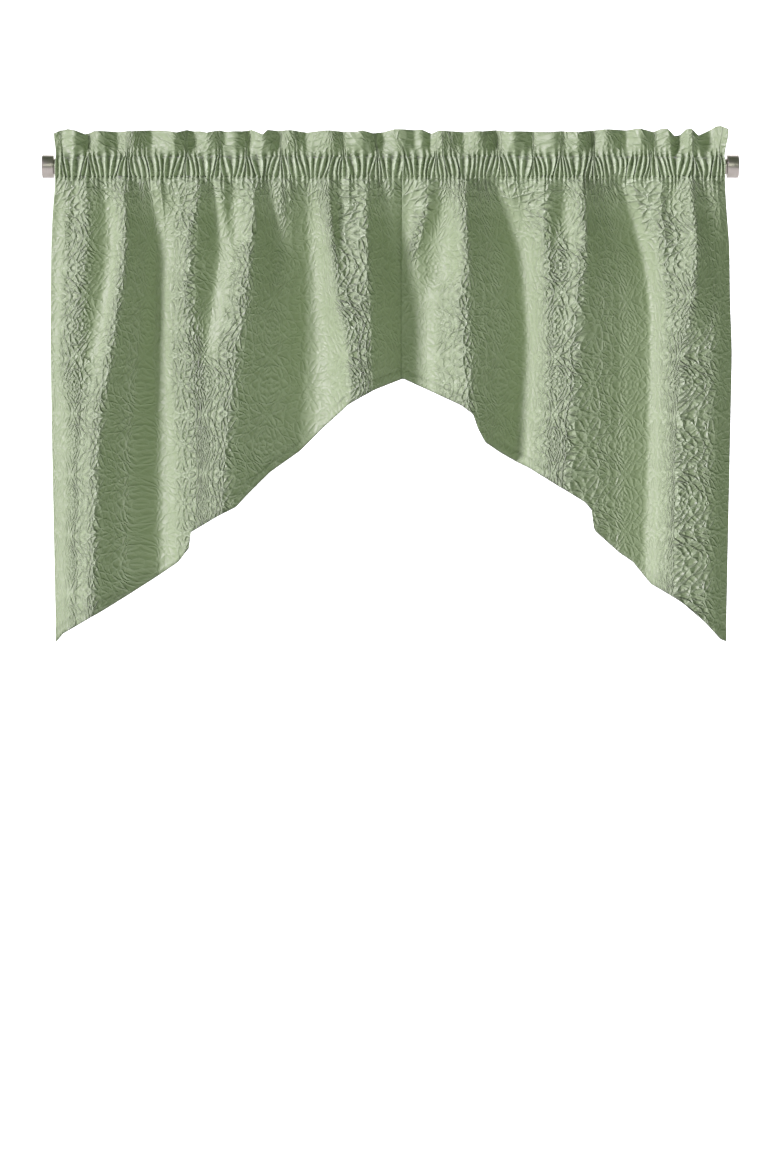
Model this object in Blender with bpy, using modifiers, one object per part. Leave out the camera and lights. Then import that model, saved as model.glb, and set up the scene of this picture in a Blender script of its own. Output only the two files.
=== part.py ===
"""Window swag pair on a curtain rod: two gathered rod-pocket panels, a metal rod and its two end caps.

The origin is on the rod's axis, halfway along it. +X runs along the rod to the viewer's right, +Y points
into the wall and +Z is up. The tables are in millimetres, everything passed to Blender is in metres.
"""

import math
from typing import NamedTuple

import bmesh
import bpy
import numpy as np
from mathutils import Matrix

MM = 0.001

# Rod and end caps
ROD_RADIUS = 11.0 * MM
ROD_HALF_LENGTH = 500.0 * MM
ROD_SIDES = 32
CAP_RADIUS = 16.5 * MM
CAP_INNER_FACE = 488.0 * MM
CAP_OUTER_FACE = 504.5 * MM
CAP_CHAMFER = 0.8 * MM
FIT_GAP = 0.3 * MM

# Cloth
CLOTH_THICKNESS = 2.0 * MM
POCKET_BORE_RADIUS = 11.6 * MM
POCKET_RADIUS = 14.6 * MM
POCKET_SIDES = 12
BORE_SIDES = 24
STITCH_HEIGHT = 15.0 * MM
HEADER_ROWS = 3
SKIRT_ROWS = 12
SKIRT_CROWDING = 1.35
COLUMN_PITCH = 8.4 * MM
LEAST_COLUMNS = 2
COLUMNS_PER_GATHER = 3
GATHER_IN_POCKET = 1.6 * MM
GATHER_IN_SKIRT = 2.6 * MM
GATHER_FADE = 60.0 * MM
RUFFLE_OUT = 7.0 * MM
STITCH_OUT = 3.0 * MM
STITCH_TO_FOLDS = 25.0 * MM
RUFFLE_GROWTH = 0.7

# Heights of the columns in the fold tables: header, just under the pocket, then down the skirt
FOLD_HEIGHTS = (30.0, -24.0, -105.0, -195.0, -267.0, -410.0, -700.0)
HEADER_HEIGHT = FOLD_HEIGHTS[0] * MM
POCKET_HEIGHT = FOLD_HEIGHTS[1] * MM

# Finding where a column meets the hem
HEM_FIRST_GUESS = -400.0 * MM
HEM_STEPS = 12


class Fold(NamedTuple):
    """A crest or trough line: its place across, and how far it stands out from the rod's axis."""

    name: str
    across: tuple[float, ...]
    out: tuple[float, ...]


class EdgePoint(NamedTuple):
    """A point on the top or bottom edge of a panel."""

    across: float
    height: float


class Panel(NamedTuple):
    """A panel's folds from left to right, the crests of its header, and its top and bottom edges."""

    name: str
    folds: tuple[Fold, ...]
    header_crests: tuple[float, ...]
    top_edge: tuple[EdgePoint, ...]
    hem: tuple[EdgePoint, ...]


LEFT_PANEL = Panel(
    name="swag_left",
    folds=(
        Fold("outer edge", (-487, -484, -490, -490, -490, -489, -484), (0, 0, -6, -8, -9, -11, -12)),
        Fold("first crest", (-446, -444, -444, -450, -462, -465, -465), (4, 7, 13, 13, 11, 5, 5)),
        Fold("first trough", (-425, -421, -413, -421, -438, -450, -452), (0, 2, 1, 3, 8, 12, 13)),
        Fold("second crest", (-388, -388, -386, -397, -407, -425, -432), (4, 12, 23, 26, 28, 30, 30)),
        Fold("second trough", (-346, -348, -337, -334, -337, -334, -337), (0, -1, -12, -15, -16, -17, -17)),
        Fold("third crest", (-282, -280, -291, -294, -288, -282, -282), (4, 11, 19, 20, 17, 11, 11)),
        Fold("third trough", (-258, -260, -244, -257, -269, -270, -270), (0, 3, -2, 4, 12, 16, 16)),
        Fold("fourth crest", (-202, -201, -205, -218, -230, -250, -262), (4, 12, 25, 28, 30, 31, 31)),
        Fold("fourth trough", (-128, -130, -120, -122, -124, -131, -138), (0, -2, -16, -20, -22, -23, -23)),
        Fold("fifth crest", (-90, -88, -85, -80, -61, -56, -56), (3, 9, 18, 22, 25, 25, 25)),
        Fold("fifth trough", (-70, -70, -70, -65, -50, -42, -42), (0, 5, 8, 16, 22, 23, 23)),
        Fold("sixth crest", (-44, -41, -41, -37, -33, -27, -27), (4, 10, 16, 19, 20, 20, 20)),
        Fold("inner edge", (3.6, 16.6, 16.6, 16.6, 16.6, 16.6, 16.6), (0, -3, -17, -21, -23, -23, -23)),
    ),
    header_crests=(-505, -462, -421, -372, -314, -262, -225, -183, -144, -91, -38, 14),
    top_edge=(
        EdgePoint(-488, 48), EdgePoint(-479, 52), EdgePoint(-456, 50), EdgePoint(-443, 46),
        EdgePoint(-420, 50), EdgePoint(-349, 52), EdgePoint(-310, 47), EdgePoint(-295, 52),
        EdgePoint(-266, 47), EdgePoint(-247, 51), EdgePoint(-202, 53), EdgePoint(-185, 43),
        EdgePoint(-178, 51), EdgePoint(-51, 48), EdgePoint(-25, 47), EdgePoint(0, 52), EdgePoint(17, 52),
    ),
    hem=(
        EdgePoint(-484, -689), EdgePoint(-475, -677), EdgePoint(-421, -647), EdgePoint(-382, -622),
        EdgePoint(-331, -588), EdgePoint(-308, -573), EdgePoint(-292, -553), EdgePoint(-289, -530),
        EdgePoint(-252, -509), EdgePoint(-223, -494), EdgePoint(-207, -476), EdgePoint(-175, -443),
        EdgePoint(-132, -411), EdgePoint(-99, -378), EdgePoint(-61, -346), EdgePoint(-22, -324),
        EdgePoint(17, -306),
    ),
)

RIGHT_PANEL = Panel(
    name="swag_right",
    folds=(
        Fold("inner edge", (6.6, 19.6, 19.6, 19.6, 19.6, 19.6, 19.6), (1, -3, -19, -22, -24, -24, -24)),
        Fold("first crest", (60, 60, 55, 45, 45, 45, 45), (4, 7, 7, 2, 0, -1, -1)),
        Fold("first trough", (70, 69, 63, 55, 57, 57, 57), (1, 5, 4, 6, 7, 7, 7)),
        Fold("second crest", (104, 104, 105, 104, 108, 115, 115), (4, 13, 26, 28, 30, 30, 30)),
        Fold("second trough", (154, 154, 185, 198, 198, 188, 181), (0, -3, -16, -20, -22, -22, -22)),
        Fold("third crest", (224, 224, 224, 224, 227, 224, 217), (4, 12, 17, 14, 9, 9, 9)),
        Fold("third trough", (252, 252, 241, 236, 236, 233, 228), (0, 2, 7, 14, 13, 13, 13)),
        Fold("fourth crest", (275, 275, 279, 270, 267, 254, 243), (4, 13, 26, 28, 30, 30, 30)),
        Fold("fourth trough", (336, 336, 362, 379, 379, 376, 362), (0, -3, -15, -18, -19, -19, -19)),
        Fold("fifth crest", (388, 388, 389, 395, 393, 391, 386), (4, 10, 12, 3, -3, -3, -3)),
        Fold("fifth trough", (405, 405, 398, 403, 401, 399, 394), (1, 5, 7, 12, 10, 10, 10)),
        Fold("sixth crest", (436, 434, 441, 434, 414, 411, 407), (4, 13, 25, 28, 29, 28, 28)),
        Fold("outer edge", (488, 484, 492, 495, 497, 495, 488), (2, 0, -9, -13, -15, -16, -16)),
    ),
    header_crests=(14, 43, 80, 130, 181, 230, 273, 318, 362, 397, 436, 491),
    top_edge=(
        EdgePoint(5, 52), EdgePoint(46, 52), EdgePoint(60, 47), EdgePoint(69, 51), EdgePoint(104, 50),
        EdgePoint(153, 53), EdgePoint(173, 48), EdgePoint(231, 48), EdgePoint(292, 53),
        EdgePoint(359, 53), EdgePoint(381, 49), EdgePoint(401, 53), EdgePoint(411, 44),
        EdgePoint(420, 44), EdgePoint(432, 52), EdgePoint(446, 43), EdgePoint(478, 57), EdgePoint(490, 53),
    ),
    hem=(
        EdgePoint(19, -306), EdgePoint(49, -320), EdgePoint(102, -347), EdgePoint(119, -360),
        EdgePoint(126, -380), EdgePoint(137, -400), EdgePoint(159, -414), EdgePoint(199, -435),
        EdgePoint(240, -462), EdgePoint(282, -487), EdgePoint(292, -499), EdgePoint(295, -527),
        EdgePoint(332, -559), EdgePoint(353, -573), EdgePoint(379, -605), EdgePoint(423, -633),
        EdgePoint(455, -660), EdgePoint(479, -685), EdgePoint(492, -690),
    ),
)


def smooth_step(t):
    """Ease from 0 to 1 with a flat start and end."""
    return t * t * (3.0 - 2.0 * t)


def through_points(places, values, at):
    """A smooth curve through (place, value) pairs, read at one place; places run downwards."""
    at = min(max(at, places[-1]), places[0])
    last = len(places) - 1
    i = max(k for k in range(last) if places[k] >= at)
    span = places[i + 1] - places[i]
    t = (at - places[i]) / span
    before, after = max(i - 1, 0), min(i + 2, last)
    slope_in = (values[i + 1] - values[before]) / (places[i + 1] - places[before]) * span
    slope_out = (values[after] - values[i]) / (places[after] - places[i]) * span
    step = smooth_step(t)
    ease_in = t * (1.0 - t) ** 2
    ease_out = -t * t * (1.0 - t)
    return values[i] * (1.0 - step) + values[i + 1] * step + slope_in * ease_in + slope_out * ease_out


def edge_height(edge, across):
    """Height of a top or bottom edge at a place across, both in metres."""
    places = [point.across for point in edge]
    heights = [point.height for point in edge]
    return float(np.interp(across / MM, places, heights)) * MM


class Cloth:
    """Where the points of one panel's sheet lie."""

    def __init__(self, panel):
        self.panel = panel
        self.places = []
        for i, (left, right) in enumerate(zip(panel.folds, panel.folds[1:])):
            width = (right.across[1] - left.across[1]) * MM
            count = max(LEAST_COLUMNS, round(width / COLUMN_PITCH))
            self.places += [(i, step / count) for step in range(count)]
        self.places.append((len(panel.folds) - 2, 1.0))
        self.columns = len(self.places) - 1

    def fold_point(self, column, height):
        """The place across and the distance out of a column at a height, in metres."""
        i, t = self.places[column]
        left, right = self.panel.folds[i], self.panel.folds[i + 1]
        across = [
            through_points(FOLD_HEIGHTS, fold.across, height / MM) for fold in (left, right)
        ]
        out = [through_points(FOLD_HEIGHTS, fold.out, height / MM) for fold in (left, right)]
        rounded = 0.5 * (t + smooth_step(t))
        return (
            (across[0] * (1.0 - t) + across[1] * t) * MM,
            (out[0] * (1.0 - rounded) + out[1] * rounded) * MM,
        )

    def gather(self, column):
        """The fine gathers' wave along the columns, a little uneven, from -1 to 1."""
        if column in (0, self.columns):
            return 0.0
        turns = column / COLUMNS_PER_GATHER
        return math.sin(2.0 * math.pi * turns + 0.5 * math.sin(0.9 * column))

    def ruffle(self, across):
        """The header's wave: out at each crest of the table, back halfway between."""
        crests = np.array(self.panel.header_crests) * MM
        turns = float(np.interp(across, crests, np.arange(len(crests))))
        return math.cos(2.0 * math.pi * turns)

    def hem_height(self, column):
        """Height at which a column meets the slanting hem."""
        height = HEM_FIRST_GUESS
        for _ in range(HEM_STEPS):
            across, _ = self.fold_point(column, height)
            height = 0.5 * (height + edge_height(self.panel.hem, across))
        return height

    def header_point(self, column, rise):
        """A point of the header, from the upper stitch line (rise 0) to the top edge (rise 1)."""
        read_at = POCKET_HEIGHT + rise * (HEADER_HEIGHT - POCKET_HEIGHT)
        across, _ = self.fold_point(column, read_at)
        top = edge_height(self.panel.top_edge, across)
        wave = RUFFLE_OUT * rise**RUFFLE_GROWTH * self.ruffle(across)
        crease = GATHER_IN_SKIRT * (1.0 - rise) * self.gather(column)
        return across, -(wave + crease), STITCH_HEIGHT + rise * (top - STITCH_HEIGHT)

    def skirt_point(self, column, fall):
        """A point of the skirt, from the lower stitch line (fall 0) to the hem (fall 1)."""
        drop = (self.hem_height(column) + STITCH_HEIGHT) * fall**SKIRT_CROWDING
        height = -STITCH_HEIGHT + drop
        across, out = self.fold_point(column, height)
        spread = smooth_step(min(1.0, -drop / STITCH_TO_FOLDS))
        out = STITCH_OUT * (1.0 - spread) + out * spread
        fade = math.exp(drop / GATHER_FADE)
        out += GATHER_IN_SKIRT * fade * self.gather(column)
        return across, -out, height


def material(name, colour, roughness, metallic):
    """A plain Principled BSDF."""
    made = bpy.data.materials.new(name)
    made.use_nodes = True
    shader = made.node_tree.nodes["Principled BSDF"]
    shader.inputs["Base Color"].default_value = (*colour, 1.0)
    shader.inputs["Roughness"].default_value = roughness
    shader.inputs["Metallic"].default_value = metallic
    return made


def new_object(name, bm, collection, surface=None):
    """An object from a finished bmesh, linked to a collection."""
    mesh = bpy.data.meshes.new(name)
    bm.to_mesh(mesh)
    bm.free()
    if surface:
        mesh.materials.append(surface)
    obj = bpy.data.objects.new(name, mesh)
    collection.objects.link(obj)
    return obj


def hide_helper(obj):
    """Keep a cutter or a joining body out of the render."""
    obj.hide_render = True
    obj.display_type = "WIRE"


def cylinder_along_x(radius, start, end, sides):
    """A capped cylinder on the X axis, with a corner at the top of each end."""
    bm = bmesh.new()
    placed = Matrix.Translation(((start + end) / 2, 0, 0)) @ Matrix.Rotation(math.pi / 2, 4, "Y")
    bmesh.ops.create_cone(
        bm, cap_ends=True, segments=sides, radius1=radius, radius2=radius, depth=end - start,
        matrix=placed,
    )
    return bm


def shade_round(obj, angle=40.0):
    """Smooth shading that keeps the sharp edges."""
    obj.data.shade_smooth()
    obj.data.set_sharp_from_angle(angle=math.radians(angle))


def build_rod(collection, metal):
    """The rod, solid from end to end."""
    bm = cylinder_along_x(ROD_RADIUS, -ROD_HALF_LENGTH, ROD_HALF_LENGTH, ROD_SIDES)
    rod = new_object("rod", bm, collection, metal)
    shade_round(rod)
    return rod


def build_cap(name, side, collection, metal):
    """A turned end cap with a blind socket over the rod's end; side is -1 on the left, 1 on the right."""
    length = CAP_OUTER_FACE - CAP_INNER_FACE
    socket_radius = ROD_RADIUS + FIT_GAP
    socket_depth = ROD_HALF_LENGTH + FIT_GAP - CAP_INNER_FACE
    profile = (
        (0.0, length),
        (CAP_RADIUS - CAP_CHAMFER, length),
        (CAP_RADIUS, length - CAP_CHAMFER),
        (CAP_RADIUS, CAP_CHAMFER),
        (CAP_RADIUS - CAP_CHAMFER, 0.0),
        (socket_radius, 0.0),
        (socket_radius, socket_depth),
        (0.0, socket_depth),
    )
    bm = bmesh.new()
    points = [bm.verts.new((radius, 0.0, height)) for radius, height in profile]
    for a, b in zip(points, points[1:]):
        bm.edges.new((a, b))
    cap = new_object(name, bm, collection, metal)
    cap.location.x = side * CAP_INNER_FACE
    cap.rotation_euler.y = side * math.pi / 2
    turn = cap.modifiers.new("Turn", "SCREW")
    turn.axis = "Z"
    turn.steps = turn.render_steps = ROD_SIDES
    turn.use_merge_vertices = True
    turn.merge_threshold = 1e-5
    return cap


def build_sheet(cloth, collection, fabric):
    """The header, the strip behind the pocket and the skirt, as one sheet with thickness."""
    rows = HEADER_ROWS + 1 + SKIRT_ROWS
    bm = bmesh.new()
    bmesh.ops.create_grid(bm, x_segments=cloth.columns, y_segments=rows, size=0.5)
    for vert in bm.verts:
        column = round((vert.co.x + 0.5) * cloth.columns)
        row = round((0.5 - vert.co.y) * rows)
        if row <= HEADER_ROWS:
            vert.co = cloth.header_point(column, 1.0 - row / HEADER_ROWS)
        else:
            vert.co = cloth.skirt_point(column, (row - HEADER_ROWS - 1) / SKIRT_ROWS)
    sheet = new_object(cloth.panel.name, bm, collection, fabric)
    thicken = sheet.modifiers.new("Thickness", "SOLIDIFY")
    thicken.thickness = CLOTH_THICKNESS
    thicken.offset = 0.0
    thicken.use_even_offset = False
    return sheet


def build_pocket(cloth, collection, fabric):
    """The closed tube of gathered cloth round the rod, before its bore is cut."""
    start, _ = cloth.fold_point(0, POCKET_HEIGHT)
    end, _ = cloth.fold_point(cloth.columns, POCKET_HEIGHT)
    bm = cylinder_along_x(POCKET_RADIUS, start, end, POCKET_SIDES)
    along = [edge for edge in bm.edges if abs(edge.verts[0].co.x - edge.verts[1].co.x) > MM]
    bmesh.ops.subdivide_edges(bm, edges=along, cuts=cloth.columns - 1, use_grid_fill=True)
    for vert in bm.verts:
        column = round((vert.co.x - start) / (end - start) * cloth.columns)
        swell = 1.0 + GATHER_IN_POCKET * cloth.gather(column) / POCKET_RADIUS
        vert.co.y *= swell
        vert.co.z *= swell
        vert.co.x = cloth.fold_point(column, POCKET_HEIGHT)[0]
    pocket = new_object(f"{cloth.panel.name}_pocket", bm, collection, fabric)
    hide_helper(pocket)
    return pocket


def build_panel(panel, collection, helpers, fabric):
    """One swag panel: its sheet and its pocket joined, then bored for the rod."""
    cloth = Cloth(panel)
    sheet = build_sheet(cloth, collection, fabric)
    pocket = build_pocket(cloth, helpers, fabric)
    bore_mesh = cylinder_along_x(POCKET_BORE_RADIUS, -CAP_OUTER_FACE, CAP_OUTER_FACE, BORE_SIDES)
    bore = new_object(f"{panel.name}_bore", bore_mesh, helpers)
    hide_helper(bore)
    for name, operation, other in (("Pocket", "UNION", pocket), ("Bore", "DIFFERENCE", bore)):
        joined = sheet.modifiers.new(name, "BOOLEAN")
        joined.operation = operation
        joined.object = other
        joined.solver = "EXACT"
    return sheet


def main():
    """Build the rod, its caps and both panels."""
    for obj in list(bpy.data.objects):
        bpy.data.objects.remove(obj, do_unlink=True)
    parts = bpy.data.collections.new("window swag pair")
    helpers = bpy.data.collections.new("cutters")
    for collection in (parts, helpers):
        bpy.context.scene.collection.children.link(collection)

    metal = material("brushed nickel", (0.42, 0.40, 0.38), 0.35, 1.0)
    fabric = material("sage cloth", (0.33, 0.42, 0.25), 0.75, 0.0)
    build_rod(parts, metal)
    build_cap("cap_left", -1, parts, metal)
    build_cap("cap_right", 1, parts, metal)
    for panel in (LEFT_PANEL, RIGHT_PANEL):
        build_panel(panel, parts, helpers, fabric)


main()
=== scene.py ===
"""A pair of crinkled swags gathered on a brushed curtain rod, seen straight from the front.

Lengths inside the classes are in millimetres, as a maker would note them, and turn into
metres where a mesh is made. Across is towards the viewer's right, out is towards the
viewer and height is up from the rod's axis.
"""

import logging
import math
from dataclasses import dataclass
from enum import Enum
from typing import NamedTuple

import bpy
import numpy as np
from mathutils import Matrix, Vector


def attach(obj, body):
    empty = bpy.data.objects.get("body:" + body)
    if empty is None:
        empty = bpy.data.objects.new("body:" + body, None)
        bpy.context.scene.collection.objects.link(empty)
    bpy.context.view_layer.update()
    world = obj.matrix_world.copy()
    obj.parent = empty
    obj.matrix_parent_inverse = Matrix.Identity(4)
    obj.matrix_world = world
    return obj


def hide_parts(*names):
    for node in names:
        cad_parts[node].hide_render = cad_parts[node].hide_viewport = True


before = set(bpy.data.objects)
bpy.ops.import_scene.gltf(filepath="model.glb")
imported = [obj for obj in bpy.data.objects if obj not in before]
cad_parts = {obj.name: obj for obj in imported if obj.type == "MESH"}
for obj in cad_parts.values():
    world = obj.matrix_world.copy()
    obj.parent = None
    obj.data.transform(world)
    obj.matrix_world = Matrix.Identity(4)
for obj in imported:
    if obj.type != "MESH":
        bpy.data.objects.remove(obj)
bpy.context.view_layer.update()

MM = 0.001
BODY = "root"
CLOTH_MAP = "cloth"
CRISP_MAP = "crispness"
# The point attribute that holds painted shade (up to one) and a painted highlight (below nought).
SHADE_AND_HIGHLIGHT_MAP = "depth"

# Heights at which every fold line is noted, from just under the pocket to the lowest tip.
LEVELS = (-24, -66, -114, -195, -267, -410, -700)

# Where the pocket's lower stitch lies down the flat cloth, so that its map stays above nought.
SEAM_DOWN = 300.0

# How far short of a table's last row or column it is read, so that a next one always exists.
LAST_CELL = 1.001

Colour = tuple[float, float, float, float]
Note = tuple[float, ...]
LOG = logging.getLogger("window swags")


# Shader writing.


class Signal:
    """A shader value that varies over a surface, written with Python's operators."""

    def __init__(self, pad: "NodePad", socket: bpy.types.NodeSocket) -> None:
        """Keep the pad that adds nodes and the socket that gives the value."""
        self.pad = pad
        self.socket = socket

    def __add__(self, other: "Signal | float") -> "Signal":
        """Add a value."""
        return self.pad.maths("ADD", self, other)

    __radd__ = __add__

    def __mul__(self, other: "Signal | float") -> "Signal":
        """Multiply by a value."""
        return self.pad.maths("MULTIPLY", self, other)

    __rmul__ = __mul__

    def __sub__(self, other: "Signal | float") -> "Signal":
        """Take a value away."""
        return self.pad.maths("SUBTRACT", self, other)

    def __rsub__(self, other: float) -> "Signal":
        """Take this value away from a number."""
        return self.pad.maths("SUBTRACT", other, self)

    def __truediv__(self, other: "Signal | float") -> "Signal":
        """Divide by a value."""
        return self.pad.maths("DIVIDE", self, other)

    def __rtruediv__(self, other: float) -> "Signal":
        """Divide a number by this value."""
        return self.pad.maths("DIVIDE", other, self)

    def __pow__(self, other: float) -> "Signal":
        """Raise to a power."""
        return self.pad.maths("POWER", self, other)

    def mirrored(self, reach: float) -> "Signal":
        """Run up to a reach and back again, as a cloth folded to and fro."""
        return self.pad.maths("PINGPONG", self, reach)

    def at_most(self, top: float) -> "Signal":
        """Cut the value off above a number."""
        return self.pad.maths("MINIMUM", self, top)

    def or_more(self, other: "Signal | float") -> "Signal":
        """Take the larger of two values."""
        return self.pad.maths("MAXIMUM", self, other)


class NodePad:
    """The node tree of one material, and the one way its nodes are added."""

    def __init__(self, name: str) -> None:
        """Start an empty material with its output.

        Args:
            name: the material's name.
        """
        self.material = bpy.data.materials.new(name)
        self.material.use_nodes = True
        self.tree = self.material.node_tree
        self.tree.nodes.clear()
        self.result = self.add("ShaderNodeOutputMaterial", {}, {})

    def add(self, kind: str, settings: dict, inputs: dict) -> bpy.types.Node:
        """Add a node, set it up and feed it.

        Args:
            kind: the node's type.
            settings: its properties, set before anything is linked.
            inputs: a number, a colour, a Signal or a socket for each input by name or index.

        Returns:
            The new node.
        """
        node = self.tree.nodes.new(kind)
        for name, value in settings.items():
            setattr(node, name, value)
        for name, value in inputs.items():
            if isinstance(value, Signal):
                value = value.socket
            if isinstance(value, bpy.types.NodeSocket):
                self.tree.links.new(value, node.inputs[name])
            else:
                node.inputs[name].default_value = value
        return node

    def maths(self, operation: str, *values: "Signal | float") -> Signal:
        """Work out one step of arithmetic on values."""
        node = self.add("ShaderNodeMath", {"operation": operation}, dict(enumerate(values)))
        return Signal(self, node.outputs[0])

    def parts(self, vector: bpy.types.NodeSocket) -> tuple[Signal, Signal, Signal]:
        """Split a vector into its three values."""
        node = self.add("ShaderNodeSeparateXYZ", {}, {"Vector": vector})
        return tuple(Signal(self, socket) for socket in node.outputs)

    def attribute(self, name: str) -> Signal:
        """Read a value that the mesh holds at each of its points."""
        node = self.add("ShaderNodeAttribute", {"attribute_name": name}, {})
        return Signal(self, node.outputs["Fac"])

    def own_place(self) -> bpy.types.NodeSocket:
        """Give the place in the object's own coordinates."""
        return self.add("ShaderNodeTexCoord", {}, {}).outputs["Object"]

    def vector(self, *values: "Signal | float") -> bpy.types.NodeSocket:
        """Join up to three values into a vector."""
        return self.add("ShaderNodeCombineXYZ", {}, dict(enumerate(values))).outputs[0]

    def noise(self, place: bpy.types.NodeSocket, scale: float, detail: float = 1.0) -> Signal:
        """Read smooth noise around one half.

        Args:
            place: where the noise is read, in metres.
            scale: how many cells there are to a metre.
            detail: how many finer layers are added.

        Returns:
            The noise, between nought and one.
        """
        node = self.add(
            "ShaderNodeTexNoise",
            {"noise_dimensions": "3D", "normalize": True},
            {"Vector": place, "Scale": scale, "Detail": detail, "Roughness": 0.5},
        )
        return Signal(self, node.outputs[0])

    def blend(
        self, share: Signal, first: Colour | bpy.types.NodeSocket, second: Colour
    ) -> bpy.types.NodeSocket:
        """Mix two colours by a share."""
        node = self.add(
            "ShaderNodeMix", {"data_type": "RGBA"}, {0: share, 6: first, 7: second}
        )
        return node.outputs[2]

    def bump(self, height: Signal, reach: float) -> bpy.types.NodeSocket:
        """Turn a height of nought to one into a normal, over a reach in metres."""
        node = self.add(
            "ShaderNodeBump", {}, {"Height": height, "Strength": 1.0, "Distance": reach}
        )
        return node.outputs[0]

    def finish(self, surface: dict) -> bpy.types.Material:
        """Close the material with its surface shader.

        Args:
            surface: the inputs of the Principled shader.

        Returns:
            The finished material.
        """
        shader = self.add("ShaderNodeBsdfPrincipled", {}, surface)
        self.tree.links.new(shader.outputs[0], self.result.inputs["Surface"])
        return self.material


# Finishes.


@dataclass(frozen=True)
class SageCloth:
    """Crinkled sage cloth: creases pressed in a mirrored repeat, a fine weave and a sheen. Its
    crease ridges are painted lighter, partly wear and partly a painted sheen highlight; the hollows
    between gathers get painted shade and their ridges a painted highlight.
    """

    # hollow: the cloth's own green, which fills the cells between the crinkle ridges
    hollow: Colour = (0.262, 0.344, 0.166, 1.0)
    # crease: the colour the crinkle ridges are painted towards, partly wear and partly a painted
    # sheen highlight
    crease: Colour = (0.545, 0.655, 0.425, 1.0)
    faded: Colour = (0.325, 0.400, 0.232, 1.0)
    # shadow: painted shade in the hollows between gathers and along the hem
    shadow: Colour = (0.080, 0.115, 0.055, 1.0)
    gloss: Colour = (1.0, 0.93, 0.94, 1.0)
    repeat_across: float = 0.054
    repeat_down: float = 0.043
    lean: float = math.radians(50)
    spread: float = math.radians(80)
    crease_length: float = 0.0165
    crease_pitch: float = 0.0072
    crease_height: float = 0.0064
    crease_narrowness: float = 3.2
    crease_sharpness: float = 1.2
    main_share: float = 0.7
    crossing_share: float = 0.3
    sway: float = 0.006
    sway_scale: float = 55.0
    shake: float = 0.0035
    shake_scale: float = 170.0
    wobble: float = 0.022
    wobble_scale: float = 14.0
    swell: float = 0.15
    swell_scale: float = 110.0
    weave_pitch: float = 0.0007
    weave_relief: float = 0.02
    crease_wear_and_sheen_tone: float = 0.85
    weave_tone: float = 0.12
    fading: float = 0.5
    fading_scale: float = 9.0
    dullness: float = 0.56
    crease_polish: float = 0.06

    def _creases(self, pad: NodePad, across: Signal, down: Signal, lean: float) -> Signal:
        """Draw one set of leaning creases, as a crumpled net stretched along its lean.

        Args:
            pad: the material's node pad.
            across: the mirrored place across the cloth.
            down: the mirrored place down the cloth.
            lean: which way the creases run, in radians from straight across.

        Returns:
            One on a crease and nought between creases.
        """
        here = pad.vector(across, down, lean)
        sway = (pad.noise(here, self.sway_scale, 0.0) - 0.5) * self.sway
        shake = (pad.noise(here, self.shake_scale, 0.0) - 0.5) * self.shake
        along = across * math.cos(lean) + down * math.sin(lean) + shake
        beside = down * math.cos(lean) - across * math.sin(lean) + sway + shake
        place = pad.vector(along / self.crease_length, beside / self.crease_pitch, 0.0)
        net = pad.add(
            "ShaderNodeTexVoronoi",
            {"voronoi_dimensions": "2D", "feature": "DISTANCE_TO_EDGE"},
            {"Vector": place, "Scale": 1.0, "Randomness": 1.0},
        )
        off_line = Signal(pad, net.outputs["Distance"]) * self.crease_narrowness
        return (1.0 - off_line.at_most(1.0)) ** self.crease_sharpness

    def material(self) -> bpy.types.Material:
        """Make the cloth's material.

        Returns:
            The material, read on the cloth's own map in metres.
        """
        pad = NodePad("crinkled sage cloth")
        flat = pad.add("ShaderNodeUVMap", {"uv_map": CLOTH_MAP}, {}).outputs[0]
        across, down, _ = pad.parts(flat)
        drift = (pad.noise(flat, self.wobble_scale, 0.0) - 0.5) * self.wobble
        across = across + drift
        down = down - drift
        folded_across = across.mirrored(self.repeat_across)
        folded_down = down.mirrored(self.repeat_down)
        first = self._creases(pad, folded_across, folded_down, self.lean)
        second = self._creases(pad, folded_across, folded_down, self.lean + self.spread)
        folded = pad.vector(folded_across, folded_down, 0.0)
        swell = pad.noise(folded, self.swell_scale, 1.0)
        crinkle = first * self.main_share + second * self.crossing_share
        threads = pad.noise(flat, 1.0 / self.weave_pitch, 0.0)
        patches = pad.noise(flat, self.fading_scale, 2.0)
        crisp = pad.attribute(CRISP_MAP)
        depth = pad.attribute(SHADE_AND_HIGHLIGHT_MAP)
        relief = (crinkle + swell * self.swell) * crisp + threads * self.weave_relief
        # Painted highlight on the gathers' ridges, where the painted shade map falls below nought.
        painted_ridge_highlight = (0.0 - depth).or_more(0.0)
        # The crinkle ridges are painted towards the crease colour: partly wear, partly a painted
        # sheen highlight; the weave adds its own fine tone.
        weave_and_crease_wear_sheen = crinkle * crisp * self.crease_wear_and_sheen_tone + threads * self.weave_tone
        worn = pad.blend((weave_and_crease_wear_sheen + painted_ridge_highlight).at_most(1.0), self.hollow, self.crease)
        cloth = pad.blend(patches * self.fading, worn, self.faded)
        # Painted shade: the hollows between gathers and the hem's stitch and edge are darkened
        # towards the shadow colour.
        shade = pad.blend(depth.or_more(0.0), cloth, self.shadow)
        return pad.finish(
            {
                "Base Color": shade,
                "Roughness": self.dullness - crinkle * self.crease_polish,
                "IOR": 1.65,
                "Specular IOR Level": 0.5,
                "Specular Tint": self.gloss,
                "Sheen Weight": 0.25,
                "Sheen Roughness": 0.40,
                "Sheen Tint": self.gloss,
                "Normal": pad.bump(relief, self.crease_height),
            }
        )


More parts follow.
